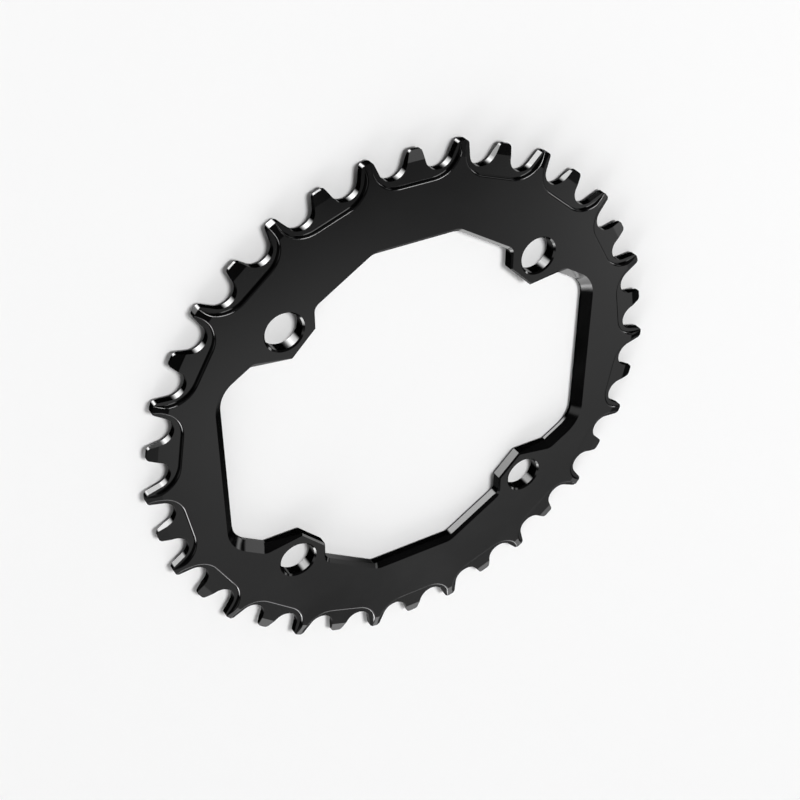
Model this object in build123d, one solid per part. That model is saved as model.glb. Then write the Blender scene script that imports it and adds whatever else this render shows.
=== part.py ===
from build123d import *
import math
import os

# Bicycle chainring, one plate machined from solid. It lies flat with its axis on Z:
# the inboard face is down at z = 0 and the outboard face is up.
# Sizes are in millimetres and angles in degrees.

# Chain and teeth
TEETH = 36
PITCH = 12.7
ROLLER = 7.75
SEAT_PLAY = 0.05
FLANK_LEAN = 15.0
WIDE_RISE = 2.9
NARROW_RISE = 2.3
TIP_ROUND = 1.1

# Thickness of the plate, which is also the wide teeth's, and of the narrow teeth
THICKNESS = 3.5
NARROW_THICKNESS = 1.8

# Sloped tips: how steep they are, and how far below the pitch circle they start
TIP_SLOPE = 10.6
WIDE_SLOPE_START = 0.95
NARROW_SLOPE_START = 0.5

# Pockets round the narrow teeth, the lean of their walls, and the spine between two of them on a wide tooth
POCKET_BELOW_PITCH = 6.15
POCKET_ROUND = 7.5
POCKET_LEAN = 15.0
SPINE_WIDTH = 1.6

# Chainring bolts
BOLT_CIRCLE = 104.0
BOLT_HOLE = 10.1
EDGE_BEVEL = 0.45

# Bolt bosses, from the bolt's axis to their walls
BOSS_FLANK = 8.4
BOSS_TIP = 7.25

# Middle opening at the outboard face, and the bevels from there down to its upright wall
OPENING_WIDTH = 112.4
OPENING_HEIGHT = 103.4
DIAGONAL_LEAN = 32.0
DIAGONAL_INSIDE_BOLT = 0.45
FLAT_BEVEL = 1.4
DIAGONAL_BEVEL = 0.9
SIDE_BEVEL = 2.2
FLAT_ROUND = 4.5
SIDE_ROUND = 10.0
CORNER_ROUND = 3.0

# Derived sizes
TOOTH_ANGLE = 360.0 / TEETH
PITCH_R = PITCH / (2.0 * math.sin(math.radians(TOOTH_ANGLE / 2.0)))
SEAT_R = (ROLLER + SEAT_PLAY) / 2.0
ROOT_R = PITCH_R - SEAT_R
WIDE_R = PITCH_R + WIDE_RISE
NARROW_R = PITCH_R + NARROW_RISE
CLEAR_R = PITCH_R + 2.0 * max(WIDE_RISE, NARROW_RISE)
POCKET_DEPTH = (THICKNESS - NARROW_THICKNESS) / 2.0
BOLT_XY = BOLT_CIRCLE / 2.0 * math.cos(math.radians(45.0))
MIDDLE = Plane.XY.offset(THICKNESS / 2.0)


def turned(point, angle):
    """The point turned about the ring's axis."""
    c = math.cos(math.radians(angle))
    s = math.sin(math.radians(angle))
    return (point[0] * c - point[1] * s, point[0] * s + point[1] * c)


def mirrored(point):
    """The point on the other side of the Y axis."""
    return (-point[0], point[1])


def tooth_half(top):
    """Foot, shoulder, crown and land of a tooth's right half, the tooth standing on +Y."""
    lean = math.radians(FLANK_LEAN)
    seat = turned((0.0, PITCH_R), -TOOTH_ANGLE / 2.0)
    foot = (seat[0] - SEAT_R * math.cos(lean), seat[1] - SEAT_R * math.sin(lean))
    corner = foot[0] - (top - foot[1]) * math.tan(lean)
    reach = math.tan(math.radians(45.0) - lean / 2.0)
    radius = min(TIP_ROUND, 0.8 * corner / reach)
    land = (corner - radius * reach, top)
    shoulder = (land[0] + radius * math.cos(lean), top - radius + radius * math.sin(lean))
    half = math.radians(45.0) + lean / 2.0
    crown = (land[0] + radius * math.cos(half), top - radius + radius * math.sin(half))
    return foot, shoulder, crown, land


def tooth_edges(angle, top, next_top):
    """The outline of one tooth and of the roller seat on its right, turned by an angle."""
    foot, shoulder, crown, land = tooth_half(top)
    next_foot = turned(mirrored(tooth_half(next_top)[0]), -TOOTH_ANGLE)
    root = turned((0.0, ROOT_R), -TOOTH_ANGLE / 2.0)
    run = [mirrored(p) for p in (foot, shoulder, crown, land)]
    run += [land, crown, shoulder, foot, root, next_foot]
    a, b, c, d, e, f, g, h, i, j = [turned(p, angle) for p in run]
    return [
        Line(a, b),
        ThreePointArc(b, c, d),
        Line(d, e),
        ThreePointArc(e, f, g),
        Line(g, h),
        ThreePointArc(h, i, j),
    ]


def toothed_disc():
    """The full disc with narrow and wide teeth in turn, a narrow tooth at the top."""
    tops = (NARROW_R, WIDE_R)
    edges = []
    for n in range(TEETH):
        edges += tooth_edges(-n * TOOTH_ANGLE, tops[n % 2], tops[(n + 1) % 2])
    return extrude(make_face(edges), amount=THICKNESS)


def pocket_outline():
    """The pocket round a narrow tooth on +Y at the face, from spine to spine and open past the tips."""
    out = (math.sin(math.radians(TOOTH_ANGLE)), math.cos(math.radians(TOOTH_ANGLE)))
    rim = PITCH_R - POCKET_BELOW_PITCH
    mid_y = rim + POCKET_ROUND
    mid_x = (mid_y * out[0] - SPINE_WIDTH / 2.0 - POCKET_ROUND) / out[1]
    low = (mid_x, rim)
    half = math.radians(-45.0 - TOOTH_ANGLE / 2.0)
    bend = (mid_x + POCKET_ROUND * math.cos(half), mid_y + POCKET_ROUND * math.sin(half))
    high = (mid_x + POCKET_ROUND * out[1], mid_y - POCKET_ROUND * out[0])
    rise = CLEAR_R - high[1]
    end = (high[0] + rise * out[0] / out[1], CLEAR_R)
    return make_face(
        [
            Line(mirrored(low), low),
            ThreePointArc(low, bend, high),
            Line(high, end),
            Line(end, mirrored(end)),
            Line(mirrored(end), mirrored(high)),
            ThreePointArc(mirrored(high), mirrored(bend), mirrored(low)),
        ]
    )


def tip_cutter(start, height):
    """What slopes the tip of a tooth on +Y, from a radius outwards and from a height over the inboard side."""
    drop = (CLEAR_R - start) * math.tan(math.radians(TIP_SLOPE))
    corners = [(start, height), (CLEAR_R, height + drop), (CLEAR_R, -THICKNESS), (start, -THICKNESS)]
    section = Plane.YZ * make_face(Polyline(*corners, close=True))
    return extrude(section, amount=PITCH / 2.0, both=True)


def tooth_cutters():
    """All that is machined off the inboard face, for each narrow tooth and the wide tooth beside it."""
    pocket = extrude(pocket_outline(), amount=POCKET_DEPTH, taper=POCKET_LEAN)
    narrow_tip = tip_cutter(PITCH_R - NARROW_SLOPE_START, POCKET_DEPTH)
    wide_tip = Rot(0, 0, TOOTH_ANGLE) * tip_cutter(PITCH_R - WIDE_SLOPE_START, 0.0)
    one = pocket + narrow_tip + wide_tip
    return [Rot(0, 0, 2.0 * n * TOOTH_ANGLE) * one for n in range(TEETH // 2)]


def ray(point, angle):
    """A straight line, as a point on it and its direction."""
    return (point, (math.cos(math.radians(angle)), math.sin(math.radians(angle))))


def shifted(line, distance):
    """The line moved to its right, which is towards the middle of the opening."""
    (x, y), (u, v) = line
    return ((x + distance * v, y - distance * u), (u, v))


def crossing(first, second):
    """The point where two lines cross."""
    (px, py), (ux, uy) = first
    (qx, qy), (vx, vy) = second
    t = ((qx - px) * vy - (qy - py) * vx) / (ux * vy - uy * vx)
    return (px + t * ux, py + t * uy)


def through(start, end):
    """The line from one point through another."""
    return ray(start, math.degrees(math.atan2(end[1] - start[1], end[0] - start[0])))


def boss_walls():
    """The upright walls of the upper right boss: its step, its tip and its foot."""
    bolt = (BOLT_XY, BOLT_XY)
    step = shifted(ray(bolt, -90.0), BOSS_FLANK)
    tip = shifted(ray(bolt, -45.0), BOSS_TIP)
    foot = shifted(ray(bolt, 0.0), BOSS_FLANK)
    return step, tip, foot


def face_lines():
    """The opening's edges at the outboard face in the upper right quarter, from flat to side."""
    step, tip, foot = boss_walls()
    flat = ray((0.0, OPENING_HEIGHT / 2.0), 0.0)
    diagonal = shifted(ray((BOLT_XY, BOLT_XY), -DIAGONAL_LEAN), DIAGONAL_INSIDE_BOLT)
    side = ray((OPENING_WIDTH / 2.0, 0.0), -90.0)
    tip_edge = shifted(tip, -EDGE_BEVEL)
    foot_start = crossing(tip_edge, shifted(foot, -EDGE_BEVEL))
    foot_end = crossing(diagonal, shifted(foot, -SIDE_BEVEL))
    foot_edge = through(foot_start, foot_end)
    return [flat, diagonal, shifted(step, -EDGE_BEVEL), tip_edge, foot_edge, diagonal, side]


def wall_lines():
    """The opening's upright walls in the same quarter and order."""
    flat, diagonal, _, _, _, _, side = face_lines()
    upper = shifted(diagonal, DIAGONAL_BEVEL)
    lower = shifted(diagonal, SIDE_BEVEL)
    return [shifted(flat, FLAT_BEVEL), upper, *boss_walls(), lower, shifted(side, SIDE_BEVEL)]


def corner_arc(before, corner, after):
    """The start, middle and end of the round at a corner, kept within half of both its edges."""
    place = Vector(corner[0], corner[1])
    one = Vector(before[0], before[1]) - place
    two = Vector(after[0], after[1]) - place
    half = math.radians(one.get_angle(two)) / 2.0
    cut = min(corner[2] / math.tan(half), 0.48 * one.length, 0.48 * two.length)
    radius = cut * math.tan(half)
    one = one.normalized()
    two = two.normalized()
    middle = place + (one + two).normalized() * (radius / math.sin(half) - radius)
    return place + one * cut, middle, place + two * cut


def opening_outline(lines, rounds):
    """The whole opening between a quarter's lines, mirrored round, with a round or none at each corner."""
    quarter = [(*crossing(a, b), r) for a, b, r in zip(lines, lines[1:], rounds)]
    top = quarter[::-1] + [(-x, y, r) for x, y, r in quarter]
    corners = top + [(-x, -y, r) for x, y, r in top]
    count = len(corners)
    arcs = [corner_arc(corners[n - 1], corners[n], corners[(n + 1) % count]) for n in range(count)]
    edges = [Line(arcs[n - 1][2], arcs[n][0]) for n in range(count)]
    edges += [ThreePointArc(*arcs[n]) for n in range(count) if corners[n][2] > 0.0]
    return make_face(edges)


def opening_wall():
    """The opening's upright wall, right through the plate."""
    step_round = CORNER_ROUND - DIAGONAL_BEVEL
    rounds = [FLAT_ROUND - FLAT_BEVEL, step_round, 0.0, 0.0, 0.0, SIDE_ROUND - SIDE_BEVEL]
    return extrude(opening_outline(wall_lines(), rounds), amount=THICKNESS)


def bevel_cutter(lines, rounds):
    """A cutter let down into the outboard face, its walls leaning in at 45 degrees."""
    outline = opening_outline(lines, rounds)
    lowered = extrude(outline, amount=SIDE_BEVEL + EDGE_BEVEL / 2.0, taper=45.0)
    return mirror(lowered, about=MIDDLE)


def opening_bevels():
    """The bevel round the opening, cut upright between the steps, across the feet and between the tips."""
    flat, diagonal, step, tip, foot, _, side = face_lines()
    past_step = shifted(step, 2.0 * SIDE_BEVEL)
    past_foot = shifted(foot, 2.0 * SIDE_BEVEL)
    upright = bevel_cutter([flat, diagonal, step], [FLAT_ROUND, CORNER_ROUND])
    band = ray(crossing(foot, past_step), 0.0)
    across = bevel_cutter([band, foot, diagonal, side], [0.0, CORNER_ROUND, SIDE_ROUND])
    top = ray(crossing(tip, past_step), 0.0)
    end = ray(crossing(tip, past_foot), -90.0)
    between = bevel_cutter([top, tip, end], [0.0, 0.0])
    return [upright, across, between]


def bolt_cutter():
    """A bolt hole with a bevelled edge at the outboard face."""
    hole = BOLT_HOLE / 2.0
    wide = hole + EDGE_BEVEL
    corners = [
        (0.0, 0.0),
        (hole, 0.0),
        (hole, THICKNESS - EDGE_BEVEL),
        (wide, THICKNESS),
        (0.0, THICKNESS),
    ]
    return revolve(Plane.XZ * make_face(Polyline(*corners, close=True)), Axis.Z)


def chainring():
    """The whole ring."""
    ring = toothed_disc()
    inboard = tooth_cutters()
    ring -= inboard
    ring -= [mirror(cutter, about=MIDDLE) for cutter in inboard]
    ring -= opening_wall()
    underside = ring.faces().sort_by(Axis.Z)[0]
    ring = chamfer(underside.inner_wires().edges(), EDGE_BEVEL)
    ring -= opening_bevels()
    bolt = bolt_cutter()
    places = [turned((BOLT_XY, BOLT_XY), 90.0 * n) for n in range(4)]
    ring -= [Pos(x, y, 0.0) * bolt for x, y in places]
    return ring


os.makedirs("parts", exist_ok=True)
export_step(chainring(), "parts/chainring.step")
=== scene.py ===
import math

import bmesh
import bpy
from mathutils import Matrix, Vector


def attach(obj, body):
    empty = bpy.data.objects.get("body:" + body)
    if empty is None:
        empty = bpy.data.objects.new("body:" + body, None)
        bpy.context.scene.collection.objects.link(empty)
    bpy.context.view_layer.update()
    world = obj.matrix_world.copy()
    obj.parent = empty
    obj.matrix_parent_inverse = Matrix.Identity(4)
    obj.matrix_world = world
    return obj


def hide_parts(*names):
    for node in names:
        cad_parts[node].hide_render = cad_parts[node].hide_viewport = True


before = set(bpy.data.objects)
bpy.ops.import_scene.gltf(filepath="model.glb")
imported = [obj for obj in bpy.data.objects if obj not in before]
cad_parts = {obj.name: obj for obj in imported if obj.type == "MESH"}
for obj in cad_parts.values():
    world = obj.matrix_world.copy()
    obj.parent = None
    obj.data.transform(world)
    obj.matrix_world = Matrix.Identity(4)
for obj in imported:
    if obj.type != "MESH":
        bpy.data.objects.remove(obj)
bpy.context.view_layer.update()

# Bicycle chainring in black anodised aluminium, lying flat on a pale floor.
# Lengths are in metres, angles in degrees, azimuths run from +X towards +Y.

# Camera: where it stands, what it looks at, how far it is rolled, and its lens on its sensor
CAMERA_PLACE = (-0.14526, 0.21015, 0.24783)
CAMERA_AIM = (-0.004969, 0.005336, 0.0035)
CAMERA_ROLL = 135.676
LENS_MM = 59.729
SENSOR_MM = 36.0

# Edges: the lean of the tooth pockets' walls and how far a normal's height may be from it, the height from
# which a normal counts as a flat face's, and the round along the pockets' tops
POCKET_LEAN = 15.0
LEAN_SLACK = 0.03
FLAT_NORMAL = 0.95
POCKET_TOP_ROUND = 0.36e-3
ROUND_SEGMENTS = 5
ROUND_PROFILE = 0.5

# Mesh: the distance that joins corners, the angle up to which faces are merged, and the angle of a sharp edge
WELD_DISTANCE = 1e-6
MERGE_ANGLE = 0.3
SHARP_ANGLE = 30.0

# Finish: tones and roughness from dark to light cloud, the spans of the clouds they run over, and the grain
CLOUD_SCALE = 60.0
CLOUD_DETAIL = 4.0
TONE_SPAN = (0.35, 0.65)
DARK_TONE = (0.0012, 0.0012, 0.0013, 1.0)
LIGHT_TONE = (0.0024, 0.0024, 0.0025, 1.0)
GLOSS_SPAN = (0.3, 0.7)
ROUGHNESS = (0.08, 0.12)
GRAIN_SCALE = 9000.0
GRAIN_DETAIL = 2.0
GRAIN_STRENGTH = 0.02
GRAIN_HEIGHT = 0.00001

# Floor
FLOOR_HALF = 6.0
FLOOR_COLOUR = (0.93, 0.93, 0.93, 1.0)
FLOOR_ROUGHNESS = 0.9

# Studio: the brightness of the wall behind the ring and of the wall behind the camera, the azimuth of the
# wall behind the ring, and the spans of a unit sight line over which one wall turns into the other and over
# which the walls rise out of the dark
FAR_WALL = 0.02
NEAR_WALL = 0.05
FAR_AZIMUTH = -55.0
WALLS_TURN = (-0.55, 0.15)
WALLS_RISE = (-0.09, -0.05)

# Soft boxes: azimuth, elevation, roll, half width, half height, soft edge as a share, brightness. Each is
# seen only from in front, down to a least share of a sight line along its centre.
LEAST_AHEAD = 0.001
SOFT_BOXES = {
    "low front": (124.0, -53.1, 5.0, 17.1, 17.1, 0.59, 15.16),
    "low front fade": (103.8, -57.0, -21.0, 14.4, 7.8, 0.54, 10.98),
    "low back": (-84.2, -24.7, -25.0, 27.6, 14.9, 0.94, 0.53),
    "low right": (-3.5, -46.8, -15.0, 9.0, 5.0, 0.18, 0.78),
    "back strip": (-99.0, 8.6, 22.0, 29.0, 14.0, 0.36, 3.90),
    "back strip end": (-125.5, 1.0, 0.0, 14.5, 19.0, 0.35, 11.00),
    "back strip low": (-107.0, -12.0, 0.0, 13.0, 8.0, 0.50, 10.00),
    "back fill": (-68.9, 25.7, 20.0, 15.5, 7.4, 0.85, 3.48),
    "face right": (-26.4, 34.7, 37.0, 13.6, 5.0, 0.95, 1.59),
    "face left": (-58.2, 48.0, 6.0, 5.6, 5.2, 0.94, 0.80),
    "face low": (-55.3, 38.1, 13.0, 9.7, 4.9, 0.62, 0.50),
    "face middle": (-48.2, 45.8, -7.0, 11.1, 5.3, 0.30, 0.18),
    "face top": (-18.5, 61.2, -18.0, 12.1, 3.7, 0.57, 1.78),
    "face far left": (-83.9, 45.8, 17.0, 11.8, 11.2, 0.37, 0.58),
    "right": (4.4, 2.5, -31.0, 5.6, 12.2, 0.95, 7.50),
    "right high": (19.8, 29.2, -22.0, 6.8, 8.2, 0.55, 2.07),
    "left": (-164.1, 37.6, -5.0, 13.8, 7.9, 0.36, 0.98),
    "near right": (85.0, 18.0, 0.0, 25.0, 12.0, 0.50, 0.30),
    "near left": (185.0, 18.0, 0.0, 20.0, 12.0, 0.50, 0.30),
    "near top": (130.0, 74.0, 0.0, 14.0, 12.0, 0.40, 0.30),
}

# Overhead lamp: azimuth, elevation, distance, width and power in watts
LAMP_AZIMUTH = 30.0
LAMP_ELEVATION = 69.0
LAMP_DISTANCE = 4.0
LAMP_WIDTH = 1.7
LAMP_WATTS = 114.0


def direction(azimuth, elevation):
    """The unit vector towards an azimuth and elevation."""
    a = math.radians(azimuth)
    e = math.radians(elevation)
    return Vector((math.cos(a) * math.cos(e), math.sin(a) * math.cos(e), math.sin(e)))


class Graph:
    """Short forms for building a node tree."""

    def __init__(self, tree):
        self.tree = tree

    def node(self, kind, inputs=(), **settings):
        """A node of a kind with settings, its inputs given as values or as sockets to link."""
        made = self.tree.nodes.new(kind)
        for name, value in settings.items():
            setattr(made, name, value)
        for place, value in dict(inputs).items():
            if isinstance(value, bpy.types.NodeSocket):
                self.tree.links.new(value, made.inputs[place])
            else:
                made.inputs[place].default_value = value
        return made

    def math(self, operation, *values):
        """The result of a math node."""
        return self.node("ShaderNodeMath", enumerate(values), operation=operation).outputs[0]

    def dot(self, vector, constant):
        """The dot product of a vector socket and a constant vector."""
        inputs = {0: vector, 1: tuple(constant)}
        return self.node("ShaderNodeVectorMath", inputs, operation="DOT_PRODUCT").outputs["Value"]

    def ramp(self, value, low, high, start=0.0, end=1.0):
        """A smooth step from start to end as a value goes from low to high."""
        inputs = {"Value": value, "From Min": low, "From Max": high, "To Min": start, "To Max": end}
        made = self.node("ShaderNodeMapRange", inputs, interpolation_type="SMOOTHSTEP")
        return made.outputs["Result"]

    def noise(self, place, scale, detail):
        """Noise at a place."""
        inputs = {"Vector": place, "Scale": scale, "Detail": detail}
        return self.node("ShaderNodeTexNoise", inputs).outputs["Fac"]


def soft_box(graph, sight, azimuth, elevation, roll, half_width, half_height, edge, brightness):
    """The light of one soft box in a direction of sight, fading out over its edge."""
    centre = direction(azimuth, elevation)
    level = Vector((-centre.y, centre.x, 0.0)).normalized()
    turn = Matrix.Rotation(math.radians(-roll), 3, centre)
    across = turn @ level / math.tan(math.radians(half_width))
    along = turn @ centre.cross(level) / math.tan(math.radians(half_height))
    ahead = graph.math("MAXIMUM", graph.dot(sight, centre), LEAST_AHEAD)
    x = graph.math("ABSOLUTE", graph.math("DIVIDE", graph.dot(sight, across), ahead))
    y = graph.math("ABSOLUTE", graph.math("DIVIDE", graph.dot(sight, along), ahead))
    outer, inner = 1.0 + edge, 1.0 - edge
    inside = graph.math("MULTIPLY", graph.ramp(x, outer, inner), graph.ramp(y, outer, inner))
    return graph.math("MULTIPLY", inside, brightness)


def studio():
    """The room round the object: dark below, with dim walls and bright soft boxes."""
    world = bpy.data.worlds.new("studio")
    bpy.context.scene.world = world
    world.use_nodes = True
    world.node_tree.nodes.clear()
    graph = Graph(world.node_tree)
    sight = graph.node("ShaderNodeTexCoord").outputs["Generated"]
    height = graph.dot(sight, (0.0, 0.0, 1.0))
    towards_far = graph.dot(sight, direction(FAR_AZIMUTH, 0.0))
    walls = graph.ramp(towards_far, *WALLS_TURN, NEAR_WALL, FAR_WALL)
    light = graph.math("MULTIPLY", walls, graph.ramp(height, *WALLS_RISE))
    for settings in SOFT_BOXES.values():
        light = graph.math("ADD", light, soft_box(graph, sight, *settings))
    shade = graph.node("ShaderNodeBackground", {"Strength": light})
    graph.node("ShaderNodeOutputWorld", {"Surface": shade.outputs[0]})


def overhead_lamp():
    """A soft round lamp high on one side, which lights the floor and the rounded edges."""
    data = bpy.data.lights.new("overhead", "AREA")
    data.shape = "DISK"
    data.size = LAMP_WIDTH
    data.energy = LAMP_WATTS
    made = bpy.data.objects.new("overhead", data)
    towards = direction(LAMP_AZIMUTH, LAMP_ELEVATION)
    made.location = towards * LAMP_DISTANCE
    made.rotation_euler = towards.to_track_quat("Z", "Y").to_euler()
    bpy.context.scene.collection.objects.link(made)


def pocket_tops(mesh):
    """The edges where the leaning walls of the tooth pockets come up to the flat and sloped faces."""
    lean = math.sin(math.radians(POCKET_LEAN))
    found = []
    for edge in mesh.edges:
        steep, flat = sorted(abs(face.normal.z) for face in edge.link_faces)
        if edge.is_convex and abs(steep - lean) < LEAN_SLACK and flat > FLAT_NORMAL:
            found.append(edge)
    return found


def finished_ring(ring):
    """The ring with its edges finished: the tooth pockets are rounded along their tops."""
    mesh = bmesh.new()
    mesh.from_mesh(ring.data)
    bmesh.ops.remove_doubles(mesh, verts=mesh.verts, dist=WELD_DISTANCE)
    bmesh.ops.dissolve_limit(
        mesh, angle_limit=math.radians(MERGE_ANGLE), verts=mesh.verts, edges=mesh.edges,
    )
    mesh.normal_update()
    bmesh.ops.bevel(
        mesh, geom=pocket_tops(mesh), offset=POCKET_TOP_ROUND, offset_type="OFFSET",
        segments=ROUND_SEGMENTS, profile=ROUND_PROFILE, affect="EDGES",
    )
    mesh.normal_update()
    for face in mesh.faces:
        face.smooth = True
    for edge in mesh.edges:
        crease = min(abs(face.normal.z) for face in edge.link_faces) > FLAT_NORMAL
        edge.smooth = not crease and edge.calc_face_angle() < math.radians(SHARP_ANGLE)
    data = bpy.data.meshes.new("finished_ring")
    mesh.to_mesh(data)
    mesh.free()
    made = bpy.data.objects.new("finished_ring", data)
    bpy.context.scene.collection.objects.link(made)
    made.modifiers.new("even_shading", "WEIGHTED_NORMAL").keep_sharp = True
    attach(made, "root")
    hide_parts("chainring")
    return made


def floor():
    """The pale floor, left out of the ring's reflections as the photograph leaves it out."""
    mesh = bpy.data.meshes.new("floor")
    h = FLOOR_HALF
    corners = [(-h, -h, 0.0), (h, -h, 0.0), (h, h, 0.0), (-h, h, 0.0)]
    mesh.from_pydata(corners, [], [(0, 1, 2, 3)])
    made = bpy.data.objects.new("floor", mesh)
    bpy.context.scene.collection.objects.link(made)
    material = bpy.data.materials.new("floor_paint")
    material.use_nodes = True
    shader = material.node_tree.nodes["Principled BSDF"]
    shader.inputs["Base Color"].default_value = FLOOR_COLOUR
    shader.inputs["Roughness"].default_value = FLOOR_ROUGHNESS
    shader.inputs["Specular IOR Level"].default_value = 0.0
    mesh.materials.append(material)
    made.visible_glossy = False


def black_anodising():
    """Black anodised aluminium: deep and glossy, with a fine grain and faint cloudiness in its gloss."""
    material = bpy.data.materials.new("black_anodising")
    material.use_nodes = True
    graph = Graph(material.node_tree)
    shader = material.node_tree.nodes["Principled BSDF"]
    place = graph.node("ShaderNodeTexCoord").outputs["Object"]
    cloud = graph.noise(place, CLOUD_SCALE, CLOUD_DETAIL)
    grain = graph.noise(place, GRAIN_SCALE, GRAIN_DETAIL)
    tone = graph.node("ShaderNodeValToRGB", {"Fac": cloud})
    for element, position, colour in zip(tone.color_ramp.elements, TONE_SPAN, (DARK_TONE, LIGHT_TONE)):
        element.position = position
        element.color = colour
    material.node_tree.links.new(tone.outputs["Color"], shader.inputs["Base Color"])
    gloss = graph.ramp(cloud, *GLOSS_SPAN, *ROUGHNESS)
    material.node_tree.links.new(gloss, shader.inputs["Roughness"])
    inputs = {"Height": grain, "Strength": GRAIN_STRENGTH, "Distance": GRAIN_HEIGHT}
    bump = graph.node("ShaderNodeBump", inputs)
    material.node_tree.links.new(bump.outputs["Normal"], shader.inputs["Normal"])
    return material


def camera():
    """The camera at the photograph's place, rolled as the photograph is."""
    data = bpy.data.cameras.new("camera")
    data.lens = LENS_MM
    data.sensor_width = SENSOR_MM
    made = bpy.data.objects.new("camera", data)
    bpy.context.scene.collection.objects.link(made)
    sight = Vector(CAMERA_AIM) - Vector(CAMERA_PLACE)
    level = sight.to_track_quat("-Z", "Y").to_matrix()
    roll = Matrix.Rotation(math.radians(CAMERA_ROLL), 3, "Z")
    made.location = CAMERA_PLACE
    made.rotation_euler = (level @ roll).to_euler()
    bpy.context.scene.camera = made


ring = finished_ring(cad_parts["chainring"])
ring.data.materials.append(black_anodising())
floor()
studio()
overhead_lamp()
camera()
bpy.context.scene.view_settings.view_transform = "Standard"
